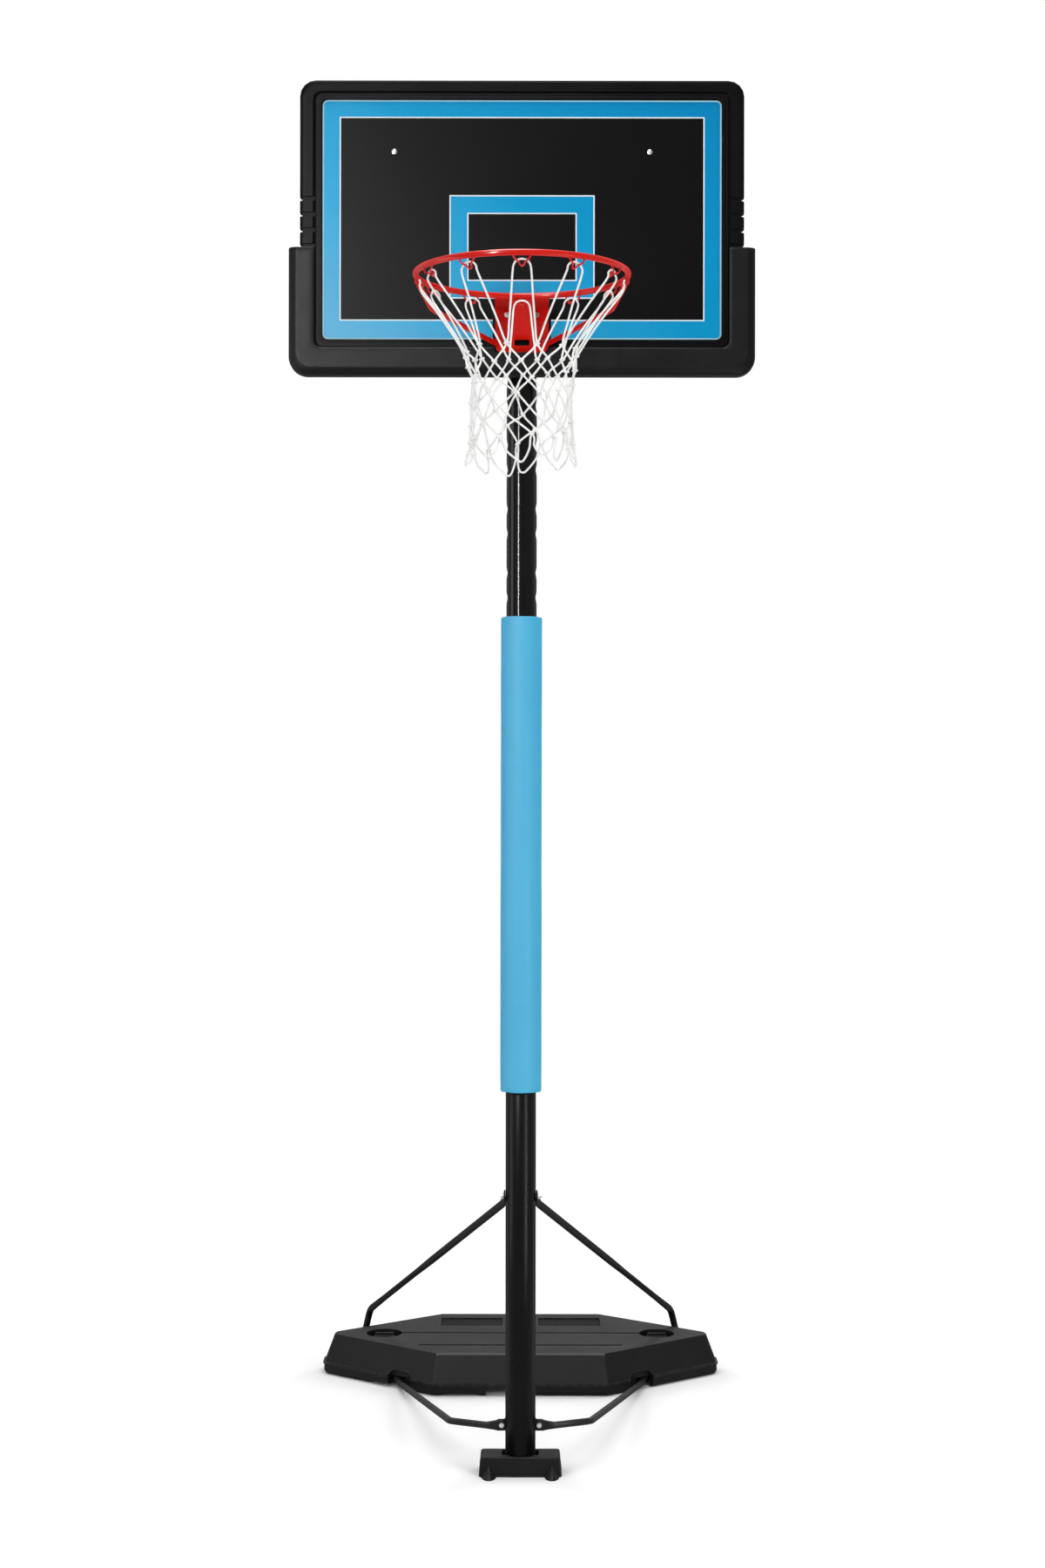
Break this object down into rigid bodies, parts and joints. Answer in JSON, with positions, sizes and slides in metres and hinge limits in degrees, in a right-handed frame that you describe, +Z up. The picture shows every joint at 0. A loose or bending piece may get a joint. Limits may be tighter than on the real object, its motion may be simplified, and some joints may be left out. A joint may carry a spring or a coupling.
{
  "type": "portable basketball stand",
  "caption": "Height-adjustable basketball stand: telescoping pole on a foot, stayed to a wheeled ballast tank, with padded pole, framed board, braced rim and cord net.",
  "frame": {"origin": "centre of the foot's underside, on the pole's axis, at floor height", "axes": "+Z up along the pole, -Y towards the court, the side that the board and rim face, +X to the right as seen from the court"},
  "size_m": [1.096, 1.9438, 3.297],
  "materials": {
    "moulded_black": "blow-moulded polyethylene, fine grain",
    "powder_black": "satin powder coat on steel",
    "gloss_black": "gloss black paint on steel",
    "zinc": "bright zinc plate",
    "pad_blue": "light blue covered foam",
    "closure_blue": "hook and loop strip",
    "wheel_grey": "moulded, dark grey",
    "board_panel": "printed sheet, semi-gloss",
    "guard_foam": "moulded soft skin",
    "rim_red": "gloss red powder coat",
    "net_white": "braided white cord"
  },
  "bodies": {
    "stand": {"base_tank": "moulded_black", "lower_pole": "powder_black", "middle_pole": "powder_black", "guide_collar": "moulded_black", "pole_joint_bolt": "zinc", "lock_boss": "powder_black", "pole_foot": "moulded_black", "pole_pad": "pad_blue", "pad_closure_strip": "closure_blue", "left_upper_strut": "powder_black", "right_upper_strut": "powder_black", "left_lower_strut": "powder_black", "right_lower_strut": "powder_black", "lower_strut_bracket": "powder_black", "upper_strut_bolt": "zinc", "left_lower_strut_bolt": "zinc", "right_lower_strut_bolt": "zinc", "left_rear_strut_screw": "zinc", "right_rear_strut_screw": "zinc", "left_front_strut_screw": "zinc", "right_front_strut_screw": "zinc", "left_axle": "zinc", "right_axle": "zinc"},
    "mast": {"upper_pole": "gloss_black", "pole_cap": "moulded_black", "backboard_frame": "moulded_black", "backboard_panel": "board_panel", "edge_guard": "guard_foam", "cross_bar": "powder_black", "cross_bar_bolt": "zinc", "left_board_bolt": "zinc", "right_board_bolt": "zinc", "pole_bracket": "powder_black", "pole_bracket_bolt": "zinc", "upper_left_rim_bolt": "zinc", "upper_right_rim_bolt": "zinc", "lower_left_rim_bolt": "zinc", "lower_right_rim_bolt": "zinc", "rim_ring": "rim_red", "rim_bracket": "rim_red", "rim_gusset": "rim_red", "left_brace": "rim_red", "right_brace": "rim_red", "net": "net_white"},
    "left_wheel": {"left_wheel": "wheel_grey"},
    "right_wheel": {"right_wheel": "wheel_grey"},
    "left_fill_cap": {"left_fill_cap": "moulded_black"},
    "right_fill_cap": {"right_fill_cap": "moulded_black"},
    "lock_knob": {"lock_knob": "moulded_black"}
  },
  "joints": [
    {"name": "height_slide", "type": "slide", "parent": "stand", "child": "mast", "axis": [0, 0, 1], "range_m": [-0.4572, 0.3048]},
    {"name": "left_wheel_spin", "type": "hinge", "parent": "stand", "child": "left_wheel", "pos_m": [-0.16, 1.195, 0.043], "axis": [1, 0, 0], "continuous": true},
    {"name": "right_wheel_spin", "type": "hinge", "parent": "stand", "child": "right_wheel", "pos_m": [0.16, 1.195, 0.043], "axis": [1, 0, 0], "continuous": true},
    {"name": "left_fill_cap_turn", "type": "hinge", "parent": "stand", "child": "left_fill_cap", "pos_m": [-0.379, 0.947, 0.1], "axis": [0, 0, 1], "range_deg": [0, 540]},
    {"name": "right_fill_cap_turn", "type": "hinge", "parent": "stand", "child": "right_fill_cap", "pos_m": [0.379, 0.947, 0.1], "axis": [0, 0, 1], "range_deg": [0, 540]},
    {"name": "lock_knob_turn", "type": "hinge", "parent": "stand", "child": "lock_knob", "pos_m": [0, 0.05, 1.953], "axis": [0, 1, 0], "range_deg": [0, 720]}
  ]
}
